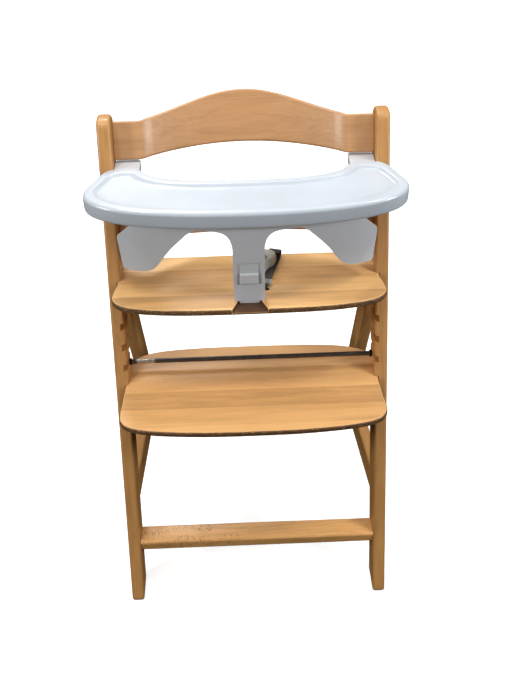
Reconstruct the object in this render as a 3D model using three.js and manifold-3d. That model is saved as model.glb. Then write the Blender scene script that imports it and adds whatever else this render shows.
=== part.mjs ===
// Baby high chair: beech side frames on slanted uprights, a seat plate and a foot plate that stand in
// grooves of the uprights, two bent backrest boards, a moulded guard with a crotch post and a lift-off tray.
// Millimetres, +Z up, the child looks towards -Y. The floor is z = 0 and the middle of the footprint is x = y = 0.
import * as THREE from "three";
import { mergeVertices } from "three/addons/utils/BufferGeometryUtils.js";
import Module from "manifold-3d";

const wasm = await Module();
wasm.setup();

// ---------------------------------------------------------------- driving dimensions
const GAP = 0.3; // play between touching pieces
const WIDTH = 465; // over the outer faces of the side frames
const BOARD = 22; // thickness of the side frame boards
const SLANT = 24.5; // degrees the uprights lean back from vertical
const UPRIGHT_DEPTH = 56.6; // upright, measured level from front edge to rear edge
const UPRIGHT_TOP = 777; // height of the uprights
const LEG_LEAN = 0.41; // rear leg: run back per unit of drop
const LEG_FRONT_FLOOR = 487.3; // rear leg front edge at the floor, from the front foot
const LEG_DEPTH = 63; // rear leg, measured level
const BRACE_FALL = 0.31; // side brace: drop per unit of run back
const BRACE_TOP0 = 236.7; // side brace top line at run 0
const BRACE_HIGH = 47; // side brace, measured upright
const DEPTH = LEG_FRONT_FLOOR + LEG_DEPTH; // 550.3 over the feet
const MIDDLE = 275.35; // middle of the footprint, from the front foot
const GROOVE_LOW = 376; // middle of the lowest groove
const GROOVE_PITCH = 32.6;
const GROOVES = 6;
const GROOVE_IN = 7; // depth of a groove into the upright
const PLATE = 10.6; // thickness of the seat and foot plates
const GROOVE_HIGH = PLATE + 2 * GAP;
const SEAT_Z = GROOVE_LOW + GROOVE_PITCH * 5; // middle of the seat plate
const FOOT_Z = GROOVE_LOW; // middle of the foot plate
const BACK_THICK = 10; // bent backrest boards
const BACK_SET = 26; // backrest front face behind the upright's front edge, at its ends
const BACK_BOW = 54; // how far the middle of a backrest board stands further back
const TIE = [217, 398]; // run and height of the steel tie bar
const TIE_R = 4;
const RIM_Z = 712; // tray rim
const LIP_Z = 685.5; // lower edge of the tray lip
const TRAY_WALL = 3.4;
const ARM_TOP = 707; // guard arms between the uprights
const WALL = 3.2; // guard wall
const CROTCH_HALF = 24.5; // half width of the crotch post

const XO = WIDTH / 2; // outer face
const XI = XO - BOARD; // inner face
const TAN = Math.tan((SLANT * Math.PI) / 180);
const COS = Math.cos((SLANT * Math.PI) / 180);
const SIN = Math.sin((SLANT * Math.PI) / 180);

// ---------------------------------------------------------------- helpers
const V = (x, y, z) => new THREE.Vector3(x, y, z);
const basis = (a, b, c, o = V(0, 0, 0)) =>
  new THREE.Matrix4().makeBasis(a, b, c).setPosition(o);
const SIDE = basis(V(0, 1, 0), V(0, 0, 1), V(1, 0, 0)); // (run, height) drawn, thickness along X
const FRONT = basis(V(1, 0, 0), V(0, 0, 1), V(0, -1, 0)); // (x, height) drawn, depth towards -Y

function shapeOf(points, holes = []) {
  const s = new THREE.Shape(points.map(([a, b]) => new THREE.Vector2(a, b)));
  for (const h of holes)
    s.holes.push(new THREE.Path(h.map(([a, b]) => new THREE.Vector2(a, b))));
  return s;
}

// A closed outline with each corner rounded by its radius: [x, y, r].
function rounded(corners, steps = 6) {
  const out = [];
  const n = corners.length;
  for (let i = 0; i < n; i++) {
    const [x, y, r = 0] = corners[i];
    const [px, py] = corners[(i + n - 1) % n];
    const [nx, ny] = corners[(i + 1) % n];
    if (!r) {
      out.push([x, y]);
      continue;
    }
    const a = new THREE.Vector2(px - x, py - y).normalize();
    const b = new THREE.Vector2(nx - x, ny - y).normalize();
    const half = Math.acos(THREE.MathUtils.clamp(a.dot(b), -1, 1)) / 2;
    const d = r / Math.tan(half);
    const c = a.clone().add(b).normalize().multiplyScalar(r / Math.sin(half));
    const p0 = a.clone().multiplyScalar(d).sub(c);
    const p1 = b.clone().multiplyScalar(d).sub(c);
    let a0 = Math.atan2(p0.y, p0.x);
    let a1 = Math.atan2(p1.y, p1.x);
    while (a1 - a0 > Math.PI) a1 -= 2 * Math.PI;
    while (a0 - a1 > Math.PI) a1 += 2 * Math.PI;
    for (let k = 0; k <= steps; k++) {
      const t = a0 + ((a1 - a0) * k) / steps;
      out.push([x + c.x + r * Math.cos(t), y + c.y + r * Math.sin(t)]);
    }
  }
  return out;
}

// A smooth open curve through points.
function spline(points, n) {
  const c = new THREE.CatmullRomCurve3(
    points.map(([a, b]) => V(a, b, 0)),
    false,
    "centripetal",
  );
  return c.getSpacedPoints(n).map((p) => [p.x, p.y]);
}

const mirror = (half) => [
  ...half,
  ...half
    .slice()
    .reverse()
    .filter(([x]) => Math.abs(x) > 1e-6)
    .map(([x, y]) => [-x, y]),
];

// A prism from z0 to z1 in its own frame, its edges rounded by `bevel`.
function prism(points, z0, z1, { bevel = 0, segments = 3, holes = [], at = null } = {}) {
  const g = new THREE.ExtrudeGeometry(shapeOf(points, holes), {
    depth: z1 - z0 - 2 * bevel,
    bevelEnabled: bevel > 0,
    bevelThickness: bevel,
    bevelSize: bevel,
    bevelOffset: -bevel,
    bevelSegments: segments,
    steps: 1,
    curveSegments: 1,
  });
  g.translate(0, 0, z0 + bevel);
  if (at) g.applyMatrix4(at);
  return g;
}

// A turned rod between two points.
function rod(a, b, r, sides = 24) {
  const d = V(...b).sub(V(...a));
  const g = new THREE.CylinderGeometry(r, r, d.length(), sides);
  g.applyQuaternion(
    new THREE.Quaternion().setFromUnitVectors(V(0, 1, 0), d.clone().normalize()),
  );
  const m = V(...a).add(V(...b)).multiplyScalar(0.5);
  g.translate(m.x, m.y, m.z);
  return g;
}

function box(x0, x1, y0, y1, z0, z1) {
  const g = new THREE.BoxGeometry(x1 - x0, y1 - y0, z1 - z0);
  g.translate((x0 + x1) / 2, (y0 + y1) / 2, (z0 + z1) / 2);
  return g;
}

function solid(geometry) {
  const g = geometry.clone();
  g.deleteAttribute("normal");
  g.deleteAttribute("uv");
  const m = mergeVertices(g, 1e-4);
  return new wasm.Manifold(
    new wasm.Mesh({
      numProp: 3,
      vertProperties: new Float32Array(m.attributes.position.array),
      triVerts: new Uint32Array(m.index.array),
    }),
  );
}

function geometryOf(body) {
  const mesh = body.getMesh();
  const g = new THREE.BufferGeometry();
  g.setAttribute("position", new THREE.BufferAttribute(mesh.vertProperties, 3));
  g.setIndex(new THREE.BufferAttribute(mesh.triVerts, 1));
  const flat = g.toNonIndexed();
  flat.computeVertexNormals();
  return flat;
}

const cut = (body, ...tools) => tools.reduce((b, t) => b.subtract(solid(t)), body);
const join = (body, ...tools) => tools.reduce((b, t) => b.add(solid(t)), body);

// ---------------------------------------------------------------- the chair
const chair = new THREE.Group();
chair.name = "chair";
chair.position.y = -MIDDLE;

const FINISH = {
  beech: { color: 0xc98e50, roughness: 0.48, metalness: 0 },
  beech_ply: { color: 0xd19a5c, roughness: 0.42, metalness: 0 },
  tray_plastic: { color: 0xdfe5ee, roughness: 0.25, metalness: 0 },
  guard_plastic: { color: 0xbfc0c6, roughness: 0.42, metalness: 0 },
  steel: { color: 0x5a5652, roughness: 0.35, metalness: 0.9 },
  zinc: { color: 0xb4b6b8, roughness: 0.35, metalness: 0.9 },
  buckle_plastic: { color: 0xb3b2ab, roughness: 0.4, metalness: 0 },
  button_plastic: { color: 0x8e8f8c, roughness: 0.4, metalness: 0 },
  webbing: { color: 0x1e1d1d, roughness: 0.9, metalness: 0 },
  dowel_wood: { color: 0xc8a46c, roughness: 0.7, metalness: 0 },
};

function put(name, geometry, finish) {
  const g = geometry.isBufferGeometry ? geometry : geometryOf(geometry);
  const mesh = new THREE.Mesh(g, new THREE.MeshStandardMaterial(FINISH[finish]));
  mesh.name = name;
  chair.add(mesh);
  return mesh;
}

const front = (z) => TAN * z; // run of the uprights' front edge at a height
const rear = (z) => TAN * z + UPRIGHT_DEPTH;
const legFront = (z) => LEG_FRONT_FLOOR - LEG_LEAN * z;
const legRear = (z) => legFront(z) + LEG_DEPTH;
const braceTop = (y) => BRACE_TOP0 - BRACE_FALL * y;

// Where the leg edges and the brace lines meet the uprights and legs.
const legTopFront = (LEG_FRONT_FLOOR - UPRIGHT_DEPTH) / (TAN + LEG_LEAN);
const legTopRear = (LEG_FRONT_FLOOR + LEG_DEPTH - UPRIGHT_DEPTH) / (TAN + LEG_LEAN);

// Run where the line z = c - BRACE_FALL * y meets the upright's rear edge and the leg's front edge.
const onUpright = (c) => (TAN * c + UPRIGHT_DEPTH) / (1 + TAN * BRACE_FALL);
const onLeg = (c) => (LEG_FRONT_FLOOR - LEG_LEAN * c) / (1 - LEG_LEAN * BRACE_FALL);

// Round wooden dowels: start, end, in run and height, along the middle of the boards.
const legNormal = V(0, COS, -SIN); // out of the upright's rear edge
const dowels = [];
for (const [name, z] of [["upper", 552], ["lower", 520]]) {
  const p = V(0, rear(z), z);
  dowels.push({
    name: `leg_dowel_${name}`,
    a: p.clone().addScaledVector(legNormal, -18),
    b: p.clone().addScaledVector(legNormal, 18),
    r: 4,
  });
}
{
  const along = V(0, 1, -BRACE_FALL).normalize();
  const c = BRACE_TOP0 - BRACE_HIGH / 2;
  const y0 = onUpright(c);
  const y1 = onLeg(c);
  const p0 = V(0, y0, c - BRACE_FALL * y0);
  const p1 = V(0, y1, c - BRACE_FALL * y1);
  dowels.push({ name: "brace_dowel_front", a: p0.clone().addScaledVector(along, -18), b: p0.clone().addScaledVector(along, 18), r: 4 });
  dowels.push({ name: "brace_dowel_rear", a: p1.clone().addScaledVector(along, -18), b: p1.clone().addScaledVector(along, 18), r: 4 });
}

// Bolts go in from the outer faces: run, height, head radius, shank radius, reach past the inner face.
const backMid = (z) => front(z) + BACK_SET + BACK_THICK / COS / 2; // middle of a backrest end
const BOLTS = [
  { name: "tie_bar_bolt", y: TIE[0], z: TIE[1], head: 6, shank: 2.6, reach: 10 },
  { name: "cross_board_bolt", y: 69.5, z: 100, head: 6, shank: 3, reach: 22 },
  { name: "upper_back_bolt_low", y: backMid(726), z: 726, head: 5, shank: 2.2, reach: 18 },
  { name: "upper_back_bolt_high", y: backMid(754), z: 754, head: 5, shank: 2.2, reach: 18 },
  { name: "lower_back_bolt_low", y: backMid(612), z: 612, head: 5, shank: 2.2, reach: 18 },
  { name: "lower_back_bolt_high", y: backMid(642), z: 642, head: 5, shank: 2.2, reach: 18 },
];

// Side profile of an upright: flat foot, straight slanted edges, rounded top.
const uprightProfile = rounded([
  [0, 0, 6],
  [UPRIGHT_DEPTH, 0, 6],
  [rear(UPRIGHT_TOP), UPRIGHT_TOP, 22],
  [front(UPRIGHT_TOP), UPRIGHT_TOP, 19],
], 6);

for (const s of [-1, 1]) {
  const side = s < 0 ? "left" : "right";
  const x0 = s < 0 ? -XO : XI;
  const x1 = s < 0 ? -XI : XO;
  const mid = (s * (XO + XI)) / 2;

  // Upright with grooves on its inner face, bolt holes and dowel holes.
  let up = solid(prism(uprightProfile, x0, x1, { bevel: 4.5, segments: 3, at: SIDE }));
  for (let i = 0; i < GROOVES; i++) {
    const z = GROOVE_LOW + GROOVE_PITCH * i;
    const a = s < 0 ? -XI - GROOVE_IN : XI - 1;
    const b = s < 0 ? -XI + 1 : XI + GROOVE_IN;
    up = cut(up, box(a, b, front(z) - 20, rear(z) + 20, z - GROOVE_HIGH / 2, z + GROOVE_HIGH / 2));
  }
  for (const b of BOLTS) {
    up = cut(
      up,
      rod([s * (XI - 2), b.y, b.z], [s * (XO + 2), b.y, b.z], b.shank + GAP, 12),
      rod([s * (XO - 4.2), b.y, b.z], [s * (XO + 2), b.y, b.z], b.head + GAP, 18),
    );
  }
  const holeFor = (d) => {
    const u = d.b.clone().sub(d.a).normalize();
    const a = d.a.clone().addScaledVector(u, -GAP);
    const b = d.b.clone().addScaledVector(u, GAP);
    return rod([mid, a.y, a.z], [mid, b.y, b.z], d.r + GAP, 10);
  };
  for (const d of [dowels[0], dowels[1], dowels[2]]) up = cut(up, holeFor(d));
  put(`upright_${side}`, up, "beech");

  // Rear leg, butted against the upright's rear edge.
  const legProfile = rounded([
    [LEG_FRONT_FLOOR, 0, 6],
    [DEPTH, 0, 6],
    [rear(legTopRear) + GAP * COS, legTopRear - GAP * SIN, 0],
    [rear(legTopFront) + GAP * COS, legTopFront - GAP * SIN, 0],
  ]);
  let leg = solid(prism(legProfile, x0, x1, { bevel: 4.5, segments: 3, at: SIDE }));
  // The butt end is cut flat along the upright's rear edge.
  const butt = [
    [rear(-50) + GAP / COS, -50],
    [rear(900) + GAP / COS, 900],
    [-200, 900],
    [-200, -50],
  ];
  leg = leg.subtract(solid(prism(butt, Math.min(x0, x1) - 5, Math.max(x0, x1) + 5, { at: SIDE })));
  for (const d of [dowels[0], dowels[1], dowels[3]]) leg = cut(leg, holeFor(d));
  put(`rear_leg_${side}`, leg, "beech");

  // Side brace between the upright and the rear leg.
  const ct = BRACE_TOP0;
  const cb = BRACE_TOP0 - BRACE_HIGH;
  const pt = (y, c) => [y, c - BRACE_FALL * y];
  const long = [
    pt(onUpright(ct) - 30, ct),
    pt(onUpright(cb) - 30, cb),
    pt(onLeg(cb) + 30, cb),
    pt(onLeg(ct) + 30, ct),
  ];
  let brace = solid(prism(long, x0, x1, { bevel: 4, segments: 3, at: SIDE }));
  const pastLeg = [
    [legFront(-50) - GAP * 1.1, -50],
    [900, -50],
    [900, 400],
    [legFront(400) - GAP * 1.1, 400],
  ];
  brace = cut(
    brace,
    prism(butt, Math.min(x0, x1) - 5, Math.max(x0, x1) + 5, { at: SIDE }),
    prism(pastLeg, Math.min(x0, x1) - 5, Math.max(x0, x1) + 5, { at: SIDE }),
  );
  for (const d of [dowels[2], dowels[3]]) brace = cut(brace, holeFor(d));
  put(`side_brace_${side}`, brace, "beech");

  for (const d of dowels) {
    const g = prism(
      [...Array(10)].map((_, k) => [d.r * Math.cos((k * Math.PI) / 5), d.r * Math.sin((k * Math.PI) / 5)]),
      0,
      d.b.clone().sub(d.a).length(),
      { bevel: 0.8, segments: 1 },
    );
    const u = d.b.clone().sub(d.a).normalize();
    g.applyQuaternion(new THREE.Quaternion().setFromUnitVectors(V(0, 0, 1), u));
    g.translate(mid, d.a.y, d.a.z);
    put(`${d.name}_${side}`, g, "dowel_wood");
  }

  // Bolts: a low round head with a six-sided socket, and a plain shank.
  for (const b of BOLTS) {
    const tip = XI - b.reach;
    const top = XO - 0.3;
    const under = XO - 4.2 + GAP;
    const profile = [
      [0, tip],
      [b.shank, tip],
      [b.shank, under],
      [b.head, under],
      [b.head, top - 1],
      [b.head - 0.9, top],
      [0, top],
    ].map(([r, h]) => new THREE.Vector2(r, h));
    const g = new THREE.LatheGeometry(profile, 18);
    const hex = new THREE.CylinderGeometry(b.head * 0.5, b.head * 0.5, 4.4, 6);
    hex.translate(0, top, 0);
    let body = cut(solid(g), hex);
    const bg = geometryOf(body);
    bg.rotateZ(-Math.PI / 2); // +Y of the lathe goes to +X
    if (s < 0) bg.rotateY(Math.PI);
    bg.translate(0, b.y, b.z);
    put(`${b.name}_${side}`, bg, "zinc");
  }
}

const boltPocket = (b, s) =>
  rod([s * (XI - b.reach - GAP), b.y, b.z], [s * (XI + 3), b.y, b.z], b.shank + GAP, 10);

// Tie bar, threaded at both ends.
{
  let bar = solid(rod([-XI + GAP, TIE[0], TIE[1]], [XI - GAP, TIE[0], TIE[1]], TIE_R, 20));
  for (const s of [-1, 1]) bar = cut(bar, boltPocket(BOLTS[0], s));
  put("tie_bar", bar, "steel");
}

// Cross board between the front feet.
{
  const outline = rounded([
    [50, 89, 4],
    [89, 89, 4],
    [89, 111, 5],
    [50, 111, 5],
  ], 4);
  let board = solid(prism(outline, -XI + GAP, XI - GAP, { at: SIDE }));
  for (const s of [-1, 1]) board = cut(board, boltPocket(BOLTS[1], s));
  put("cross_board", board, "beech");
}

// Backrest boards: a strip bent in plan, in the frame of the leaning uprights, cut to its front outline.
const bowAt = (x) => {
  const a = Math.abs(x);
  const b = BACK_SET + BACK_BOW * Math.max(0, 1 - (a / 167) ** 2);
  const blend = THREE.MathUtils.smoothstep(a, 146, 186);
  return b * (1 - blend) + BACK_SET * blend;
};
const LEAN = basis(V(1, 0, 0), V(0, COS, -SIN), V(0, SIN, COS)); // x, out of the back, up the lean
const LEAN_FACE = basis(V(1, 0, 0), V(0, SIN, COS), V(0, -COS, SIN)); // x, up the lean, towards the child
function backBoard(topEdge, bottomEdge, bolts, name) {
  const end = XI - GAP;
  const xs = [...Array(43)].map((_, i) => -end + (2 * end * i) / 42);
  const face = xs.map((x) => [x, bowAt(x) * COS]);
  const backFace = xs
    .map((x) => {
      const d = 0.5;
      const slope = ((bowAt(x + d) - bowAt(x - d)) * COS) / (2 * d);
      const k = Math.abs(x) > end - 1 ? 0 : slope;
      const len = Math.hypot(1, k);
      return [x - (k / len) * BACK_THICK, bowAt(x) * COS + BACK_THICK / len];
    })
    .reverse();
  const strip = [...face, ...backFace];
  const up = (x, z) => z / COS + bowAt(x) * SIN; // a height on the front face, measured up the lean
  const outline = [
    ...xs.map((x) => [x, bottomEdge(x, up)]),
    ...xs.slice().reverse().map((x) => [x, topEdge(x, up)]),
  ];
  const los = Math.min(...outline.map((p) => p[1])) - 20;
  const his = Math.max(...outline.map((p) => p[1])) + 20;
  let board = solid(prism(strip, los, his, { at: LEAN }));
  const mask = prism(outline, -140, 40, { at: LEAN_FACE });
  board = board.intersect(solid(mask));
  for (const b of bolts) for (const s of [-1, 1]) board = cut(board, boltPocket(b, s));
  put(name, board, "beech_ply");
}
const bump = (x, w) => 0.5 * (1 + Math.cos(Math.PI * Math.min(1, Math.abs(x) / w)));
backBoard(
  (x, up) => up(x, 767 + 21 * bump(x, 165)),
  (x, up) => up(x, 712),
  [BOLTS[2], BOLTS[3]],
  "backrest_upper",
);
backBoard(
  (x) => 658 / COS + BACK_SET * SIN + 12 * bump(x, 165),
  () => 597 / COS + BACK_SET * SIN,
  [BOLTS[4], BOLTS[5]],
  "backrest_lower",
);

// ---------------------------------------------------------------- plates
// Half outline of the seat, from the middle of the front round to the middle of the back.
const seatHalf = [
  [28, 160.6],
  ...spline([[40, 160.6], [70, 161], [110, 162.5], [150, 166], [185, 172.5], [205, 180], [217, 190], [222.5, 202], [222, 216], [219.5, 230]], 22),
  [216.9, 238],
  [216.9, 284],
  ...spline([[216.9, 288], [213.5, 297], [206, 306], [195, 313], [180, 316.6], [150, 317.4]], 8),
  [0, 318],
];
const seatOutline = mirror([[0, 160.6], ...seatHalf]);
const REBATE = [
  [-29.2, 155],
  [-29.2, 157.6],
  [-19, 182],
  [-18.4, 188],
  [18.4, 188],
  [19, 182],
  [29.2, 157.6],
  [29.2, 155],
]; // recess in the seat's front edge, under the crotch post
const REBATE_DEEP = 5.4;
// The harness strap comes up beside the notch and runs back a little to the right.
const STRAP_AT = [20, 217.5];
const STRAP_TURN = -0.3; // radians about Z, from straight back
const inHarness = (x, y) => [
  STRAP_AT[0] + x * Math.cos(STRAP_TURN) - y * Math.sin(STRAP_TURN),
  STRAP_AT[1] + x * Math.sin(STRAP_TURN) + y * Math.cos(STRAP_TURN),
];
const STRAP_SLOT = rounded([[-12.5, -3, 2.5], [12.5, -3, 2.5], [12.5, 3, 2.5], [-12.5, 3, 2.5]], 3).map(([x, y]) => inHarness(x, y));
{
  const g = prism(seatOutline, SEAT_Z - PLATE / 2, SEAT_Z + PLATE / 2, { bevel: 1.8, segments: 2 });
  // Slot that the crotch strap comes up through.
  let plate = cut(solid(g), prism(STRAP_SLOT, SEAT_Z - 20, SEAT_Z + 20), prism(REBATE, SEAT_Z + PLATE / 2 - REBATE_DEEP, SEAT_Z + 20));
  put("seat_plate", plate, "beech_ply");
}
const footOutline = mirror([
  [0, 52],
  ...spline([[30, 52], [80, 53.2], [128, 56.5], [165, 61], [195, 68], [211, 77], [219, 89], [220.5, 102], [219, 125], [217.8, 150]], 22),
  [216.9, 162],
  [216.9, 224],
  ...spline([[216.9, 228], [211, 238], [199, 248], [180, 257], [153, 263.5], [98, 268], [50, 269.3]], 12),
  [0, 269.6],
]);
put("foot_plate", prism(footOutline, FOOT_Z - PLATE / 2, FOOT_Z + PLATE / 2, { bevel: 1.8, segments: 2 }), "beech_ply");
const SEAT_TOP = SEAT_Z + PLATE / 2;

// ---------------------------------------------------------------- tray
const trayHalf = [
  [0, 172],
  ...spline([[30, 172.2], [75, 174.2], [131, 180.2], [181, 190], [214, 203.5], [236, 219], [246.5, 234], [249.5, 247], [248, 259], [242.5, 273], [237, 286], [232.5, 298], [227.5, 309], [221, 317.5], [213, 322.5]], 25),
  [205, 323.6],
  [172, 323.6],
  ...spline([[167, 321], [161, 312], [151, 301], [134, 291], [99, 281.2], [62, 276.8], [30, 275.4]], 11),
  [0, 275],
];
const trayOutline = mirror(trayHalf);
function inset(points, d) {
  // Moves each point of a closed outline inwards by d.
  const n = points.length;
  let area = 0;
  for (let i = 0; i < n; i++) {
    const [x0, y0] = points[i];
    const [x1, y1] = points[(i + 1) % n];
    area += x0 * y1 - x1 * y0;
  }
  const k = area > 0 ? 1 : -1;
  return points.map(([x, y], i) => {
    const [px, py] = points[(i + n - 1) % n];
    const [nx, ny] = points[(i + 1) % n];
    const a = new THREE.Vector2(x - px, y - py).normalize();
    const b = new THREE.Vector2(nx - x, ny - y).normalize();
    const na = new THREE.Vector2(-a.y * k, a.x * k);
    const nb = new THREE.Vector2(-b.y * k, b.x * k);
    const m = na.clone().add(nb).normalize();
    const f = d / Math.max(0.6, m.dot(na));
    return [x + m.x * f, y + m.y * f];
  });
}
{
  let tray = solid(prism(trayOutline, LIP_Z, RIM_Z, { bevel: 5.5, segments: 3 }));
  const recess = mirror([
    [0, 184],
    ...spline([[30, 184.2], [75, 186.2], [131, 192.4], [176, 202.5], [204, 214], [223, 228.5], [232.5, 242], [235, 254], [231, 267], [225, 280.5], [219.5, 293], [212.5, 302], [203.5, 307], [193, 309.5], [184, 310]], 19),
    ...spline([[176, 307], [168, 297], [157, 287], [136, 277], [99, 268.6], [62, 264.8], [30, 263.6]], 10),
    [0, 263.4],
  ]);
  tray = cut(tray, prism(recess, RIM_Z - 5.2, RIM_Z + 10, { bevel: 2.2, segments: 2 }));
  const under = inset(trayOutline, 4);
  tray = cut(tray, prism(under, LIP_Z - 10, RIM_Z - 5.2 - TRAY_WALL));
  // The rear shoulders are cut along the lean of the uprights.
  for (const s of [-1, 1]) {
    const x0 = s < 0 ? -300 : XI - 6;
    const x1 = s < 0 ? -XI + 6 : 300;
    const shoulder = [
      [front(600) - 1, 600],
      [front(800) - 1, 800],
      [500, 800],
      [500, 600],
    ];
    tray = cut(tray, prism(shoulder, x0, x1, { at: SIDE }));
  }
  // The lip is open where the guard's arms pass under it.
  for (const s of [-1, 1])
    tray = cut(tray, box(Math.min(s * 172.6, s * 230), Math.max(s * 172.6, s * 230), 316, 332, LIP_Z - 8, RIM_Z - 5.2 - TRAY_WALL));
  put("tray", tray, "tray_plastic");
}

// ---------------------------------------------------------------- guard
const BASE_TOP = RIM_Z - 5.2 - TRAY_WALL - GAP;
{
  const plan = spline(
    [[0, 184], [24, 184], [60, 188], [100, 196], [140, 208.5], [172, 223], [190, 235], [203, 246.5], [212, 255], [218, 260.5]],
    36,
  );
  const full = [...plan.slice(1).reverse().map(([x, y]) => [-x, y]), ...plan];
  const n = full.length;
  const inner = full.map(([x, y], i) => {
    const [px, py] = full[Math.max(0, i - 1)];
    const [nx, ny] = full[Math.min(n - 1, i + 1)];
    const t = new THREE.Vector2(nx - px, ny - py).normalize();
    return [x - t.y * WALL, y + t.x * WALL];
  });
  const band = [...full, ...inner.slice().reverse()];
  let wall = solid(prism(band, 520, BASE_TOP - 1));
  // Front outline of the wall: crotch post in the middle, an arched opening for each leg, a wing at each side.
  const half = [
    [0, SEAT_TOP + GAP],
    [CROTCH_HALF, SEAT_TOP + GAP],
    [CROTCH_HALF, 640],
    ...spline([[CROTCH_HALF + 0.6, 647], [29, 660], [36, 668], [45, 671.6], [55, 672.6]], 7),
    [79, 672.6],
    ...spline([[86, 670], [91.5, 666], [101, 656], [114, 641.5], [127, 625], [138, 607.5], [146, 596.5], [154, 589], [164, 584.3], [178, 580]], 14),
    [198, 574.5],
    [201.5, 574.2],
    [203.2, 577],
    [207.3, 627.5],
    [206.6, 631.5],
    [181.5, 663],
    [181.5, 720],
    [0, 720],
  ];
  const outline = half.concat(half.slice().reverse().filter(([x]) => x > 1e-6).map(([x, y]) => [-x, y]));
  wall = wall.intersect(solid(prism(outline, -400, -100, { at: FRONT })));
  // Base that the tray lies on, open towards the child, with two arms between the uprights.
  const base = mirror([
    [0, 180],
    ...spline([[30, 180.2], [75, 182.4], [131, 189], [178, 200], [206, 214], [224, 232], [231, 250], [231, 268], [224, 286], [213, 296]], 20),
    [209.9, 300],
    [209.9, 330],
    [175, 330],
    [175, 318],
    ...spline([[170, 313], [160, 303], [149, 293.5], [132, 284], [99, 274.5], [62, 270], [30, 268.6]], 10),
    [0, 268.2],
  ]);
  let guard = wall.add(solid(prism(base, BASE_TOP - 6, BASE_TOP, { bevel: 1, segments: 1 })));
  for (const s of [-1, 1]) {
    const arm = rounded([
      [s * 168.5, 324.4, 0],
      [s * 209.8, 324.4, 0],
      [s * 209.8, 362, 6],
      [s * 168.5, 362, 6],
    ], 5);
    guard = guard.add(solid(prism(arm, BASE_TOP - 10, ARM_TOP, { bevel: 1.5, segments: 2 })));
    guard = guard.add(solid(box(Math.min(s * 175, s * 208), Math.max(s * 175, s * 208), 296, 330, BASE_TOP - 10, BASE_TOP)));
  }
  // Crotch post: a channel 14 deep behind its face, with a tab at its foot that stands in the seat's rebate.
  const post = [
    [-CROTCH_HALF, 184.6],
    [CROTCH_HALF, 184.6],
    [CROTCH_HALF, 198],
    [CROTCH_HALF - WALL, 198],
    [CROTCH_HALF - WALL, 187.6],
    [-CROTCH_HALF + WALL, 187.6],
    [-CROTCH_HALF + WALL, 198],
    [-CROTCH_HALF, 198],
  ];
  guard = guard.add(solid(prism(post, SEAT_TOP + GAP, BASE_TOP - 3)));
  guard = guard.add(solid(box(-CROTCH_HALF + 1, CROTCH_HALF - 1, 186, 197.8, SEAT_TOP + GAP, SEAT_TOP + 14)));
  guard = guard.add(solid(box(-16, 16, 184.6, 187.4, SEAT_TOP - 4.8, SEAT_TOP + 3)));
  // Shallow panel round the release tongue, and the tongue's window.
  guard = guard.subtract(solid(box(-18.2, 18.2, 175, 185.2, 576.4, 616)));
  guard = guard.subtract(solid(box(-14.6, 14.6, 175, 192, 576.9, 613.6)));
  put("guard", guard, "guard_plastic");
}

// Release tongue in the crotch post: hinged at its foot, with a forward step on its lower half.
{
  const side = [
    [184.2, 577.6],
    [187.4, 577.6],
    [187.4, 613.2],
    [184.8, 613.2],
    [184.2, 597.5],
    [181.2, 595.5],
    [180.8, 580],
    [182, 578.2],
  ];
  put("release_tongue", prism(side, -14.1, 14.1, { bevel: 0.4, segments: 1, at: SIDE }), "guard_plastic");
}

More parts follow.
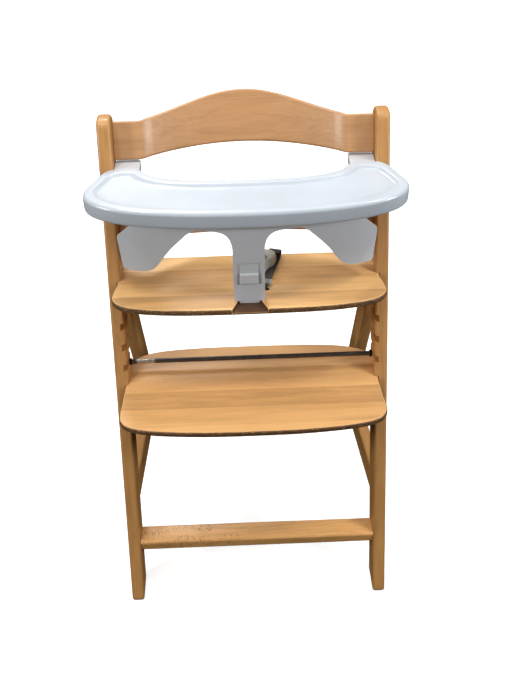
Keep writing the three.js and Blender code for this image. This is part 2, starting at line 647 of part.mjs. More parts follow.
// ---------------------------------------------------------------- harness crotch strap and buckle, lying on the seat
const ST = SEAT_TOP;
{
  // The harness is drawn with its strap running straight back along +Y from the slot, then turned and placed.
  const place = new THREE.Matrix4()
    .makeTranslation(STRAP_AT[0], STRAP_AT[1], 0)
    .multiply(new THREE.Matrix4().makeRotationZ(STRAP_TURN));
  const drawn = (body) => geometryOf(body).applyMatrix4(place);
  const HALF = 10; // half the webbing's width
  const LIE = ST + 3.3; // the webbing's middle where it runs over the seat
  const mid = spline(
    [[0, 524], [0, 538], [0.2, ST - 0.5], [2.6, ST + 2.6], [7, LIE], [30, LIE], [60, LIE], [87, LIE], [94, LIE + 2.6], [96.6, LIE + 7.2], [94.4, LIE + 11.6], [90, LIE + 13.8], [80, LIE + 14]],
    40,
  );
  const n = mid.length;
  const off = (h) =>
    mid.map(([y, z], i) => {
      const [py, pz] = mid[Math.max(0, i - 1)];
      const [ny, nz] = mid[Math.min(n - 1, i + 1)];
      const t = new THREE.Vector2(ny - py, nz - pz).normalize();
      return [y - t.y * h, z + t.x * h];
    });
  let strap = solid(prism([...off(-0.8), ...off(0.8).reverse()], -HALF, HALF, { at: SIDE }));
  // A folded and sewn end under the seat keeps it from pulling through.
  strap = strap.add(solid(box(-HALF, HALF, -8, 8, 521, 525)));
  put("crotch_strap", drawn(strap), "webbing");

  // Strap adjuster: a flat frame with a middle bar that the webbing runs through.
  let adj = solid(prism(rounded([[-13.6, 9, 2.5], [13.6, 9, 2.5], [13.6, 20, 2.5], [-13.6, 20, 2.5]], 3), LIE - 2.8, LIE + 2.8, { bevel: 0.7, segments: 1 }));
  adj = cut(
    adj,
    box(-HALF - 0.5, HALF + 0.5, 0, 40, LIE - 1.2, LIE + 1.2),
    box(-HALF - 0.5, HALF + 0.5, 10.8, 13.2, LIE, LIE + 9),
    box(-HALF - 0.5, HALF + 0.5, 15.8, 18.2, LIE, LIE + 9),
  );
  put("strap_adjuster", drawn(adj), "buckle_plastic");

  // Buckle housing, lying over the strap, with a pocket for the strap's end and a well for its button.
  const x0 = -14.5; // the buckle lies to the left of the strap
  const outline = rounded(
    [[x0 - 10.5, 24.5, 5], [x0 + 10.5, 24.5, 5], [x0 + 15, 50, 9], [x0 + 21, 61, 8], [x0 + 21, 77, 12], [x0 + 11, 85.5, 12], [x0 - 11, 85.5, 12], [x0 - 21, 77, 12], [x0 - 21, 61, 8], [x0 - 15, 50, 9]],
    4,
  );
  let housing = solid(prism(outline, LIE + 1.2, LIE + 18.6, { bevel: 4, segments: 2 }));
  housing = cut(
    housing,
    box(-HALF - 1, HALF + 20, 76, 96, LIE + 12.6, LIE + 15.4),
    rod([x0, 56, LIE + 9.4], [x0, 56, LIE + 30], 9.9, 24),
  );
  put("buckle_housing", drawn(housing), "buckle_plastic");
  const cap = [
    [0, 0],
    [9.3, 0],
    [9.3, 6.9],
    [8.2, 7.9],
    [5, 8.5],
    [0, 8.7],
  ].map(([r, h]) => new THREE.Vector2(r, h));
  const g = new THREE.LatheGeometry(cap, 24);
  g.rotateX(Math.PI / 2);
  g.translate(x0, 56, LIE + 11);
  g.applyMatrix4(place);
  put("buckle_button", g, "button_plastic");
}

const object = new THREE.Group();
object.name = "high_chair";
object.add(chair);
export default object;
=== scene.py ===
# Baby high chair: the fine surfaces, materials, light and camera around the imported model. Metres, +Z up.
import math

import bmesh
import bpy
import numpy as np
from mathutils import Matrix, Vector
from mathutils.geometry import tessellate_polygon


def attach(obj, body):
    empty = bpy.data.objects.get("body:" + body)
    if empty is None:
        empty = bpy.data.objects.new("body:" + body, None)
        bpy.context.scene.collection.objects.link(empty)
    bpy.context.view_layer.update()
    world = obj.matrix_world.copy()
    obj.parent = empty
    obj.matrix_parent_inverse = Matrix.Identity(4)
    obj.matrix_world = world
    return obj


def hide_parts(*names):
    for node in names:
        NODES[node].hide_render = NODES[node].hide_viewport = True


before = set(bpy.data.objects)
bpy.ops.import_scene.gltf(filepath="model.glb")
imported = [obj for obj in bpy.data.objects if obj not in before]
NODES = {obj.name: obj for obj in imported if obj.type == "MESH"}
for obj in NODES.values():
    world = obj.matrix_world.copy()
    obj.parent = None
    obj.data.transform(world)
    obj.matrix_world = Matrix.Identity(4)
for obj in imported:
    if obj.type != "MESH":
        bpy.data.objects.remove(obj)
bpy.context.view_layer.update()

scene = bpy.context.scene
scene.view_settings.view_transform = "Standard"  # plain display colours, as a phone picture has

# ------------------------------------------------------------------ camera
cam_data = bpy.data.cameras.new("camera")
cam = bpy.data.objects.new("camera", cam_data)
scene.collection.objects.link(cam)
PITCH, YAW, ROLL = 0.697459569, 0.0188006588, -0.0237711510
cam_data.sensor_width = 36.0
cam_data.sensor_fit = "AUTO"
cam_data.lens = 834.204745 * 36.0 / 700.0
cam_data.clip_start, cam_data.clip_end = 0.05, 60.0
_f = Vector((math.sin(YAW) * math.cos(PITCH), math.cos(YAW) * math.cos(PITCH), -math.sin(PITCH)))
_r = Vector((math.cos(YAW), -math.sin(YAW), 0.0))
_u = _r.cross(_f)
_r2 = math.cos(ROLL) * _r + math.sin(ROLL) * _u
_u2 = -math.sin(ROLL) * _r + math.cos(ROLL) * _u
cam.matrix_world = Matrix((
    (_r2.x, _u2.x, -_f.x, -0.0177016971),
    (_r2.y, _u2.y, -_f.y, -1.16041768),
    (_r2.z, _u2.z, -_f.z, 1.33790361),
    (0, 0, 0, 1)))
scene.camera = cam

# ------------------------------------------------------------------ dimensions of the model, millimetres
MIDDLE = 275.35
XO, XI, GAP = 232.5, 210.5, 0.3
SLANT = math.radians(24.5)
TAN, COS, SIN = math.tan(SLANT), math.cos(SLANT), math.sin(SLANT)
SEAT_Z, FOOT_Z, PLATE = 539.0, 376.0, 10.6
SEAT_TOP = SEAT_Z + PLATE / 2
BACK_THICK, BACK_SET, BACK_BOW = 10.0, 26.0, 54.0
RIM_Z, LIP_Z = 712.0, 685.5
BASE_TOP = 703.1
LIE = SEAT_TOP + 3.3


def P(x, y, z):
    return (x / 1000.0, (y - MIDDLE) / 1000.0, z / 1000.0)


def front(z):
    return TAN * z


# ------------------------------------------------------------------ shader helpers
class Tree:
    def __init__(self, name):
        self.mat = bpy.data.materials.new(name)
        self.mat.use_nodes = True
        self.t = self.mat.node_tree
        self.t.nodes.clear()
        self.out = self.t.nodes.new("ShaderNodeOutputMaterial")
        self.bsdf = self.t.nodes.new("ShaderNodeBsdfPrincipled")
        self.t.links.new(self.bsdf.outputs[0], self.out.inputs[0])

    def put(self, socket, value):
        if isinstance(value, bpy.types.NodeSocket):
            self.t.links.new(value, socket)
        else:
            socket.default_value = value

    def node(self, kind, ins=None, **props):
        n = self.t.nodes.new("ShaderNode" + kind)
        for k, v in props.items():
            setattr(n, k, v)
        for k, v in (ins or {}).items():
            self.put(n.inputs[k], v)
        return n

    def math(self, op, a, b=None, c=None, clamp=False):
        n = self.t.nodes.new("ShaderNodeMath")
        n.operation = op
        n.use_clamp = clamp
        for i, v in enumerate((a, b, c)):
            if v is not None:
                self.put(n.inputs[i], v)
        return n.outputs[0]

    def vmath(self, op, a, b=None):
        n = self.t.nodes.new("ShaderNodeVectorMath")
        n.operation = op
        self.put(n.inputs[0], a)
        if b is not None:
            self.put(n.inputs[1], b)
        return n.outputs["Value"] if op in ("DOT_PRODUCT", "LENGTH") else n.outputs["Vector"]

    def xyz(self, x, y, z):
        n = self.t.nodes.new("ShaderNodeCombineXYZ")
        for i, v in enumerate((x, y, z)):
            self.put(n.inputs[i], v)
        return n.outputs[0]

    def noise(self, vector, scale=1.0, detail=3.0, rough=0.5, distort=0.0, colour=False):
        n = self.node("TexNoise", {"Vector": vector, "Scale": scale, "Detail": detail, "Roughness": rough, "Distortion": distort})
        return n.outputs[1 if colour else 0]

    def white(self, w):
        n = self.t.nodes.new("ShaderNodeTexWhiteNoise")
        n.noise_dimensions = "1D"
        self.put(n.inputs["W"], w)
        return n.outputs["Value"]

    def mix(self, fac, a, b, blend="MIX"):
        n = self.t.nodes.new("ShaderNodeMix")
        n.data_type = "RGBA"
        n.blend_type = blend
        n.clamp_factor = True
        for i, v in ((0, fac), (6, a), (7, b)):
            self.put(n.inputs[i], v)
        return n.outputs[2]

    def ramp(self, fac, stops, mode="LINEAR"):
        n = self.t.nodes.new("ShaderNodeValToRGB")
        n.color_ramp.interpolation = mode
        e = n.color_ramp.elements
        while len(e) < len(stops):
            e.new(0.5)
        for k, (pos, col) in enumerate(stops):
            e[k].position = pos
            e[k].color = col if len(col) == 4 else (*col, 1.0)
        self.put(n.inputs[0], fac)
        return n.outputs[0]

    def step(self, v, lo, hi):
        n = self.node("MapRange", {"Value": v, "From Min": lo, "From Max": hi, "To Min": 0.0, "To Max": 1.0})
        n.interpolation_type = "SMOOTHSTEP"
        return n.outputs[0]

    def attr(self, name):
        return self.node("Attribute", attribute_name=name).outputs["Fac"]

    def place(self):
        return self.t.nodes.new("ShaderNodeTexCoord").outputs["Object"]

    def bump(self, height, strength, distance, normal=None):
        n = self.node("Bump", {"Height": height, "Strength": strength, "Distance": distance})
        if normal is not None:
            self.put(n.inputs["Normal"], normal)
        return n.outputs[0]

    def finish(self, colour, rough, normal=None, **fixed):
        b = self.bsdf
        self.put(b.inputs["Base Color"], colour)
        self.put(b.inputs["Roughness"], rough)
        if normal is not None:
            self.put(b.inputs["Normal"], normal)
        for k, v in fixed.items():
            b.inputs[k].default_value = v
        return self.mat


def rgb(r, g, b, k=1.0):
    """A colour given as 0 to 255 display values, made linear."""
    def lin(c):
        c = c / 255.0
        return c / 12.92 if c <= 0.04045 else ((c + 0.055) / 1.055) ** 2.4
    return (min(1.0, lin(r) * k), min(1.0, lin(g) * k), min(1.0, lin(b) * k), 1.0)


def shade(c, k, warm=0.0):
    return (min(1, c[0] * k * (1 + warm)), min(1, c[1] * k), min(1, c[2] * k * (1 - warm)), 1.0)


def wood(name, along, across, base, seed=0.0, stave=None, edge="wear", edge_dark=0.0, figure=1.0, contrast=1.0, ply=None, flecks=1.0, worn=0.0, tones=1.0):
    """Lacquered beech. along and across are the grain's axes; stave is the width of the glued staves in mm.
    The attribute `edge` marks rounded edges. ply names an attribute that holds the thickness coordinate in mm, for the plies on an edge."""
    t = Tree(name)
    a = Vector(along).normalized()
    c = Vector(across).normalized()
    d = a.cross(c)
    p = t.place()
    u = t.math("MULTIPLY", t.vmath("DOT_PRODUCT", p, tuple(a)), 1000.0)
    v = t.math("MULTIPLY", t.vmath("DOT_PRODUCT", p, tuple(c)), 1000.0)
    w = t.math("MULTIPLY", t.vmath("DOT_PRODUCT", p, tuple(d)), 1000.0)
    tone = None
    joint = None
    if stave:
        s = t.math("ADD", t.math("DIVIDE", v, stave), seed * 0.37 + 0.21)
        index = t.math("FLOOR", s)
        fract = t.math("FRACT", s)
        rnd = t.white(t.math("ADD", index, seed * 11.3))
        rnd2 = t.white(t.math("ADD", index, seed * 7.1 + 91.7))
        tone = t.math("FRACT", t.math("MULTIPLY_ADD", index, 0.618034, seed * 0.731 + 9.0))  # neighbouring staves differ
        u = t.math("ADD", u, t.math("MULTIPLY", rnd2, 900.0))
        w = t.math("ADD", w, t.math("MULTIPLY", rnd, 400.0))
        near = t.math("ABSOLUTE", t.math("SUBTRACT", fract, 0.5))
        joint = t.step(near, 0.5 - 0.7 / stave, 0.5)
    else:
        u = t.math("ADD", u, seed * 313.0)
        w = t.math("ADD", w, seed * 57.0)
    broad = t.noise(t.xyz(t.math("DIVIDE", u, 150.0), t.math("DIVIDE", v, 17.0), t.math("DIVIDE", w, 17.0)), 1.0, 2.0, 0.5)
    streak = t.noise(t.xyz(t.math("DIVIDE", u, 62.0), t.math("DIVIDE", v, 2.3), t.math("DIVIDE", w, 2.3)), 1.0, 4.0, 0.62)
    fibre = t.noise(t.xyz(t.math("DIVIDE", u, 11.0), t.math("DIVIDE", v, 0.42), t.math("DIVIDE", w, 0.42)), 1.0, 3.0, 0.6)
    wander = t.noise(t.xyz(t.math("DIVIDE", u, 210.0), t.math("DIVIDE", v, 46.0), t.math("DIVIDE", w, 46.0)), 1.0, 2.0, 0.45)
    ring = t.math("SINE", t.math("ADD", t.math("MULTIPLY", v, 0.62), t.math("MULTIPLY", wander, 46.0)))
    ring = t.math("MULTIPLY", t.math("POWER", t.math("MULTIPLY", t.math("ADD", ring, 1.0), 0.5), 2.2), 1.0)
    fleck = t.step(t.noise(t.xyz(t.math("DIVIDE", u, 2.6), t.math("DIVIDE", v, 0.5), t.math("DIVIDE", w, 0.5)), 1.0, 1.5, 0.5), 0.60, 0.71)
    k = t.math("MULTIPLY", t.math("SUBTRACT", broad, 0.5), 0.70 * contrast)
    k = t.math("MULTIPLY_ADD", t.math("SUBTRACT", streak, 0.5), 0.50 * contrast, k)
    k = t.math("MULTIPLY_ADD", t.math("SUBTRACT", fibre, 0.5), 0.34 * contrast, k)
    k = t.math("MULTIPLY_ADD", t.math("SUBTRACT", 0.32, ring), 0.13 * figure * contrast, k)
    k = t.math("ADD", k, 0.5)
    if tone is not None:
        k = t.math("MULTIPLY_ADD", t.math("SUBTRACT", tone, 0.5), 0.40 * tones * contrast, k)
    col = t.ramp(k, [(0.12, shade(base, 0.66, 0.05)), (0.38, shade(base, 0.88, 0.02)), (0.55, base), (0.86, shade(base, 1.17, -0.04))])
    col = t.mix(t.math("MULTIPLY", fleck, 0.34 * flecks), col, shade(base, 0.42, 0.1))
    if joint is not None:
        col = t.mix(t.math("MULTIPLY", joint, 0.3), col, shade(base, 0.5, 0.08))
    # soft handling marks: slightly darker, slightly glossier patches
    mark = t.step(t.noise(p, 9.0, 3.0, 0.55), 0.52, 0.74)
    col = t.mix(t.math("MULTIPLY", mark, 0.10), col, shade(base, 0.6, 0.05))
    rough = t.math("MULTIPLY_ADD", t.math("SUBTRACT", fibre, 0.5), 0.22, 0.43)
    rough = t.math("SUBTRACT", rough, t.math("MULTIPLY", mark, 0.07))
    e = t.attr(edge)
    chip = t.noise(t.xyz(t.math("DIVIDE", u, 9.0), t.math("DIVIDE", v, 3.0), t.math("DIVIDE", w, 3.0)), 1.0, 4.0, 0.62)
    light = t.math("MULTIPLY", e, t.step(chip, 0.40, 0.66))
    col = t.mix(t.math("MULTIPLY", light, 0.30), col, shade(base, 1.28, -0.05))
    dark_mask = t.math("MULTIPLY", e, t.step(chip, 0.62, 0.74))
    if worn:
        # dents and lost lacquer: small dark nicks gathered in patches
        patch = t.step(t.noise(t.xyz(t.math("DIVIDE", u, 55.0), t.math("DIVIDE", v, 22.0), t.math("DIVIDE", w, 22.0)), 1.0, 2.0, 0.5), 0.38, 0.54)
        nick = t.step(t.noise(t.xyz(t.math("DIVIDE", u, 3.1), t.math("DIVIDE", v, 1.9), t.math("DIVIDE", w, 1.9)), 1.0, 2.5, 0.6), 0.555, 0.62)
        # most of them towards one end, where the feet rest
        end = t.step(t.node("SeparateXYZ", {0: p}).outputs[0], 0.02, -0.09)
        gone = t.math("MULTIPLY", t.math("MULTIPLY", patch, nick), t.math("MULTIPLY_ADD", end, 0.85, 0.15))
        col = t.mix(t.math("MULTIPLY", gone, worn), col, shade(base, 0.26, 0.1))
        rough = t.math("MULTIPLY_ADD", gone, 0.25, rough)
    if ply:
        lay = t.attr(ply)
        lines = t.math("FRACT", t.math("DIVIDE", t.math("ADD", lay, t.math("MULTIPLY", t.math("SUBTRACT", wander, 0.5), 0.5)), 1.45))
        line = t.step(t.math("ABSOLUTE", t.math("SUBTRACT", lines, 0.5)), 0.30, 0.46)
        col = t.mix(t.math("MULTIPLY", t.math("MULTIPLY", e, line), 0.42), col, shade(base, 0.45, 0.05))
    if edge_dark:
        col = t.mix(t.math("MULTIPLY", t.math("MULTIPLY", e, edge_dark), t.step(chip, 0.72, 0.42)), col, shade(base, 0.22, 0.12))
    col = t.mix(t.math("MULTIPLY", dark_mask, 0.4), col, shade(base, 0.4, 0.05))
    height = t.math("ADD", t.math("MULTIPLY", fibre, 0.55), t.math("MULTIPLY", streak, 0.35))
    height = t.math("SUBTRACT", height, t.math("MULTIPLY", fleck, 0.35))
    if joint is not None:
        height = t.math("SUBTRACT", height, t.math("MULTIPLY", joint, 0.5))
    return t.finish(col, rough, t.bump(height, 0.32, 0.00016), **{"Coat Weight": 0.16, "Coat Roughness": 0.24})


def ply_edge(name, base, dark, seed=0.0, always=False):
    """The rounded rim of a plywood plate: plies along it, lacquer worn dark, light scratches and chips."""
    t = Tree(name)
    p = t.place()
    q = t.vmath("MULTIPLY", p, (1000.0, 1000.0, 1000.0))
    off = t.vmath("ADD", q, (seed * 131.0, seed * 17.0, 0.0))
    sep = t.node("SeparateXYZ", {0: off})
    x, y, z = sep.outputs
    wob = t.noise(t.vmath("MULTIPLY", off, (1 / 60, 1 / 60, 1 / 60)), 1.0, 2.0, 0.5)
    lay = t.math("FRACT", t.math("DIVIDE", t.math("ADD", z, t.math("MULTIPLY", wob, 0.8)), 1.5))
    line = t.step(t.math("ABSOLUTE", t.math("SUBTRACT", lay, 0.5)), 0.22, 0.45)
    grain = t.noise(t.vmath("MULTIPLY", off, (1 / 3.0, 1 / 3.0, 1 / 0.35)), 1.0, 4.0, 0.62)
    worn = t.noise(t.vmath("MULTIPLY", off, (1 / 24.0, 1 / 24.0, 1 / 5.0)), 1.0, 4.0, 0.6)
    scratch = t.step(t.noise(t.vmath("MULTIPLY", off, (1 / 7.5, 1 / 7.5, 1 / 0.8)), 1.0, 3.0, 0.65), 0.585, 0.66)
    chips = t.step(t.noise(t.vmath("MULTIPLY", off, (1 / 2.6, 1 / 2.6, 1 / 1.3)), 1.0, 2.0, 0.6), 0.62, 0.68)
    col = t.mix(t.step(worn, 0.30, 0.72), dark, shade(dark, 1.9, 0.02))
    col = t.mix(t.math("MULTIPLY", line, 0.45), col, shade(dark, 0.45))
    col = t.mix(t.math("MULTIPLY", t.math("SUBTRACT", grain, 0.35), 0.7, clamp=True), col, shade(dark, 2.2, 0.02))
    col = t.mix(t.math("MULTIPLY", scratch, 0.62), col, base)
    col = t.mix(t.math("MULTIPLY", chips, 0.55), col, shade(base, 1.05))
    # the lacquered faces begin where the rounding ends
    e = t.attr("edge")
    if not always:
        rim = t.step(t.math("ADD", e, t.math("MULTIPLY", t.math("SUBTRACT", worn, 0.5), 0.55)), 0.30, 0.62)
        col = t.mix(rim, base, col)
    rough = t.math("MULTIPLY_ADD", grain, 0.25, 0.42)
    h = t.math("SUBTRACT", t.math("MULTIPLY", grain, 0.6), t.math("ADD", t.math("MULTIPLY", line, 0.35), t.math("MULTIPLY", chips, 0.4)))
    return t.finish(col, rough, t.bump(h, 0.4, 0.0002), **{"Coat Weight": 0.08, "Coat Roughness": 0.3})


def plastic(name, base, rough=0.35, grain=0.25, coat=0.0, scuff=0.0, speck=0.0, wear=0.0, fine=0.00006):
    """Moulded plastic: faint flow mottling, a fine skin texture, soft scuffs, and edges lightened, partly rubbed and
    partly a painted highlight on the rims.
    """
    t = Tree(name)
    p = t.place()
    mottle = t.noise(p, 14.0, 3.0, 0.5)
    skin = t.noise(p, 1900.0, 2.0, 0.5)
    wave = t.noise(p, 85.0, 2.0, 0.5)
    col = t.mix(t.step(mottle, 0.3, 0.7), shade(base, 0.965, 0.004), shade(base, 1.02, -0.003))
    r = t.math("MULTIPLY_ADD", t.math("SUBTRACT", mottle, 0.5), 0.10, rough)
    r = t.math("MULTIPLY_ADD", t.math("SUBTRACT", skin, 0.5), 0.06, r)
    if scuff:
        a = t.noise(t.vmath("MULTIPLY", p, (60.0, 900.0, 60.0)), 1.0, 3.0, 0.6, 0.4)
        b = t.noise(t.vmath("MULTIPLY", p, (820.0, 70.0, 70.0)), 1.0, 3.0, 0.6, 0.4)
        where = t.step(t.noise(p, 11.0, 2.0, 0.5), 0.48, 0.66)
        lines = t.math("MAXIMUM", t.step(a, 0.64, 0.70), t.step(b, 0.65, 0.71))
        lines = t.math("MULTIPLY", lines, where)
        r = t.math("MULTIPLY_ADD", lines, 0.22 * scuff, r)
        col = t.mix(t.math("MULTIPLY", lines, 0.10 * scuff), col, shade(base, 0.72))
    if speck:
        dust = t.step(t.noise(p, 620.0, 1.0, 0.5), 0.74, 0.80)
        col = t.mix(t.math("MULTIPLY", dust, speck), col, shade(base, 0.5, 0.05))
    e = t.attr("wear")
    # marked edges lightened: partly rubbing, partly a painted highlight along the rims
    rub_and_rim_highlight = t.math("MULTIPLY", e, t.step(t.noise(p, 160.0, 3.0, 0.6), 0.36, 0.62))
    col = t.mix(t.math("MULTIPLY", rub_and_rim_highlight, 0.25 + wear), col, shade(base, 1.12))
    r = t.math("MULTIPLY_ADD", rub_and_rim_highlight, -0.06, r)
    h = t.math("ADD", t.math("MULTIPLY", skin, grain), t.math("MULTIPLY", wave, 0.6))
    return t.finish(col, r, t.bump(h, 0.22, fine), **{"Coat Weight": coat, "Coat Roughness": 0.12})


def metal(name, base, axis, rough=0.3, brush=0.5, patch=None, metallic=0.9):
    """Drawn or plated steel with fine lines along its axis, dull spots and a little tarnish."""
    t = Tree(name)
    p = t.place()
    k = [1400.0] * 3
    k[axis] = 40.0
    lines = t.noise(t.vmath("MULTIPLY", p, tuple(k)), 1.0, 3.0, 0.6)
    spots = t.noise(p, 120.0, 4.0, 0.62)
    col = t.mix(t.step(spots, 0.35, 0.7), shade(base, 0.72, 0.03), base)
    col = t.mix(t.math("MULTIPLY", t.step(lines, 0.35, 0.7), 0.3), col, shade(base, 1.35))
    if patch:
        x0, x1, bright = patch
        s = t.node("SeparateXYZ", {0: p}).outputs[0]
        inside = t.math("MULTIPLY", t.step(s, x0 - 0.004, x0 + 0.002), t.step(s, x1 + 0.004, x1 - 0.002))
        col = t.mix(t.math("MULTIPLY", inside, t.step(spots, 0.2, 0.6)), col, bright)
    r = t.math("MULTIPLY_ADD", t.math("SUBTRACT", lines, 0.5), 0.28 * brush, rough)
    r = t.math("MULTIPLY_ADD", t.step(spots, 0.5, 0.8), 0.14, r)
    return t.finish(col, r, t.bump(lines, 0.2 * brush, 0.00005), **{"Metallic": metallic})


def webbing(name, base):
    """Flat woven strap: a narrow herringbone weave from the strap's own u, v coordinates."""
    t = Tree(name)
    uv = t.t.nodes.new("ShaderNodeUVMap")
    uv.uv_map = "strap"
    s = t.node("SeparateXYZ", {0: uv.outputs[0]}).outputs
    u, v = t.math("MULTIPLY", s[0], 1000.0), t.math("MULTIPLY", s[1], 1000.0)  # mm along, mm across
    zig = t.math("ABSOLUTE", t.math("SUBTRACT", t.math("FRACT", t.math("DIVIDE", v, 5.0)), 0.5))
    warp = t.math("SINE", t.math("MULTIPLY", t.math("ADD", u, t.math("MULTIPLY", zig, 6.0)), 6.283 / 1.1))
    weft = t.math("SINE", t.math("MULTIPLY", v, 6.283 / 0.9))
    yarn = t.math("MULTIPLY_ADD", t.math("MULTIPLY", warp, weft), 0.5, 0.5)
    fuzz = t.noise(t.place(), 2400.0, 3.0, 0.6)
    col = t.mix(yarn, shade(base, 0.6), shade(base, 1.9))
    col = t.mix(t.math("MULTIPLY", t.step(fuzz, 0.5, 0.8), 0.5), col, shade(base, 3.2))
    h = t.math("ADD", yarn, t.math("MULTIPLY", fuzz, 0.4))
    return t.finish(col, t.math("MULTIPLY_ADD", fuzz, 0.15, 0.72), t.bump(h, 0.6, 0.00025), **{"Sheen Weight": 0.3, "Sheen Roughness": 0.5})


# ------------------------------------------------------------------ materials
# beech of the uprights and braces: partly the wood's own darker tone, partly painted shade, darkened after the
# uprights' shaded fronts
BEECH_WITH_PAINTED_SHADE = rgb(194, 142, 82)
LEG = rgb(212, 160, 97)
# cross board: partly its own lighter tone, partly painted light, lightened because less light reaches it low down
CROSS_WITH_PAINTED_LIGHT = rgb(232, 174, 106)
SEAT = rgb(243, 192, 126)
FOOT = rgb(228, 175, 112)
BACK = rgb(200, 151, 104)
UP_AXIS = (0, SIN, COS)
LEG_AXIS = Vector((0, -0.41, 1.0)).normalized()
BRACE_AXIS = Vector((0, 1.0, -0.31)).normalized()

M = {}
M["upright_left"] = wood("beech_upright_left", UP_AXIS, (0, COS, -SIN), BEECH_WITH_PAINTED_SHADE, seed=1.0)
M["upright_right"] = wood("beech_upright_right", UP_AXIS, (0, COS, -SIN), BEECH_WITH_PAINTED_SHADE, seed=2.7)
M["leg_left"] = wood("beech_leg_left", LEG_AXIS, (0, 1.0, 0.41), LEG, seed=3.4)
M["leg_right"] = wood("beech_leg_right", LEG_AXIS, (0, 1.0, 0.41), LEG, seed=4.9)
M["brace_left"] = wood("beech_brace_left", BRACE_AXIS, (0, 0.31, 1.0), BEECH_WITH_PAINTED_SHADE, seed=5.2)
M["brace_right"] = wood("beech_brace_right", BRACE_AXIS, (0, 0.31, 1.0), BEECH_WITH_PAINTED_SHADE, seed=6.6)
M["cross"] = wood("beech_cross_board", (1, 0, 0), (0, 1, 0), CROSS_WITH_PAINTED_LIGHT, seed=7.3, worn=0.9, contrast=1.1)
M["back_upper"] = wood("ply_back_upper", (1, 0, 0), (0, SIN, COS), BACK, seed=8.1, edge="edge", ply="layer", contrast=0.8)
M["back_lower"] = wood("ply_back_lower", (1, 0, 0), (0, SIN, COS), BACK, seed=9.4, edge="edge", ply="layer", contrast=0.8)
M["seat"] = wood("ply_seat", (1, 0, 0), (0, 1, 0), SEAT, seed=10.2, stave=36.0, edge="edge", flecks=0.7, figure=0.35, tones=1.7)
M["foot"] = wood("ply_foot", (1, 0, 0), (0, 1, 0), FOOT, seed=12.9, stave=41.0, edge="edge", flecks=0.7, figure=0.35, tones=1.5)
M["seat_rim"] = ply_edge("ply_seat_rim", SEAT, rgb(86, 61, 38), seed=1.0)
M["foot_rim"] = ply_edge("ply_foot_rim", FOOT, rgb(86, 61, 38), seed=2.0)
# the recess under the crotch post: worn ply, darkened further with painted shade from the post above it
M["rebate"] = ply_edge("ply_rebate_with_painted_shade", rgb(104, 74, 44), rgb(70, 47, 28), seed=3.0, always=True)
M["dowel"] = wood("dowel_wood", (0, 1, 0), (0, 0, 1), rgb(215, 180, 130), seed=14.0)
M["tray"] = plastic("tray_plastic", rgb(197, 205, 214), rough=0.32, coat=0.25, scuff=0.8, speck=0.06)
M["guard"] = plastic("guard_plastic", rgb(208, 211, 216), rough=0.40, grain=0.6, scuff=0.5, speck=0.1)
M["tongue"] = plastic("guard_plastic_tongue", rgb(206, 210, 212), rough=0.40, grain=0.6, scuff=0.6)
M["steel"] = metal("dark_steel", rgb(92, 88, 84), 0, rough=0.34, patch=(-0.196, -0.168, rgb(190, 186, 178)))
M["collar"] = metal("dark_collar", rgb(52, 50, 48), 0, rough=0.42)
M["zinc"] = metal("zinc_plate", rgb(178, 180, 184), 1, rough=0.32, brush=0.35)
M["buckle"] = plastic("buckle_plastic", rgb(186, 188, 184), rough=0.42, grain=0.7, scuff=0.6, speck=0.1, wear=0.1)
M["adjuster"] = plastic("adjuster_plastic", rgb(170, 171, 166), rough=0.42, grain=0.7, scuff=0.6)
M["button"] = plastic("button_plastic", rgb(150, 150, 146), rough=0.42, grain=0.7, scuff=0.6)
M["webbing"] = webbing("webbing_black", rgb(42, 41, 41))


# ------------------------------------------------------------------ mesh helpers
def spline(points, n):
    """An evenly spaced smooth curve through points, centripetal."""
    p = [np.array(q, float) for q in points]
    p = [2 * p[0] - p[1]] + p + [2 * p[-1] - p[-2]]
    out = []
    for i in range(1, len(p) - 2):
        p0, p1, p2, p3 = p[i - 1:i + 3]
        t0 = 0.0
        t1 = t0 + max(1e-9, np.linalg.norm(p1 - p0)) ** 0.5
        t2 = t1 + max(1e-9, np.linalg.norm(p2 - p1)) ** 0.5
        t3 = t2 + max(1e-9, np.linalg.norm(p3 - p2)) ** 0.5
        for t in np.linspace(t1, t2, 25, endpoint=False):
            a1 = (t1 - t) / (t1 - t0) * p0 + (t - t0) / (t1 - t0) * p1
            a2 = (t2 - t) / (t2 - t1) * p1 + (t - t1) / (t2 - t1) * p2
            a3 = (t3 - t) / (t3 - t2) * p2 + (t - t2) / (t3 - t2) * p3
            b1 = (t2 - t) / (t2 - t0) * a1 + (t - t0) / (t2 - t0) * a2
            b2 = (t3 - t) / (t3 - t1) * a2 + (t - t1) / (t3 - t1) * a3
            out.append((t2 - t) / (t2 - t1) * b1 + (t - t1) / (t2 - t1) * b2)
    out.append(p[-2])
    out = np.array(out)
    s = np.concatenate([[0], np.cumsum(np.linalg.norm(np.diff(out, axis=0), axis=1))])
    q = np.linspace(0, s[-1], n + 1)
    return [tuple(np.interp(q, s, out[:, k])[i] for k in range(out.shape[1])) for i in range(n + 1)]


def mirror(half):
    return list(half) + [(-x, y) for x, y in reversed(half) if abs(x) > 1e-6]


def clean(points, least=0.25):
    """Drops points that sit on the one before."""
    out = []
    for p in points:
        if not out or math.dist(out[-1], p) > least:
            out.append(p)
    if math.dist(out[0], out[-1]) < least:
        out.pop()
    return out


def refine(points, most):
    """Splits long steps of a closed outline."""
    out = []
    n = len(points)
    for i, a in enumerate(points):
        b = points[(i + 1) % n]
        k = max(1, int(math.ceil(math.dist(a, b) / most)))
        out += [(a[0] + (b[0] - a[0]) * j / k, a[1] + (b[1] - a[1]) * j / k) for j in range(k)]
    return out


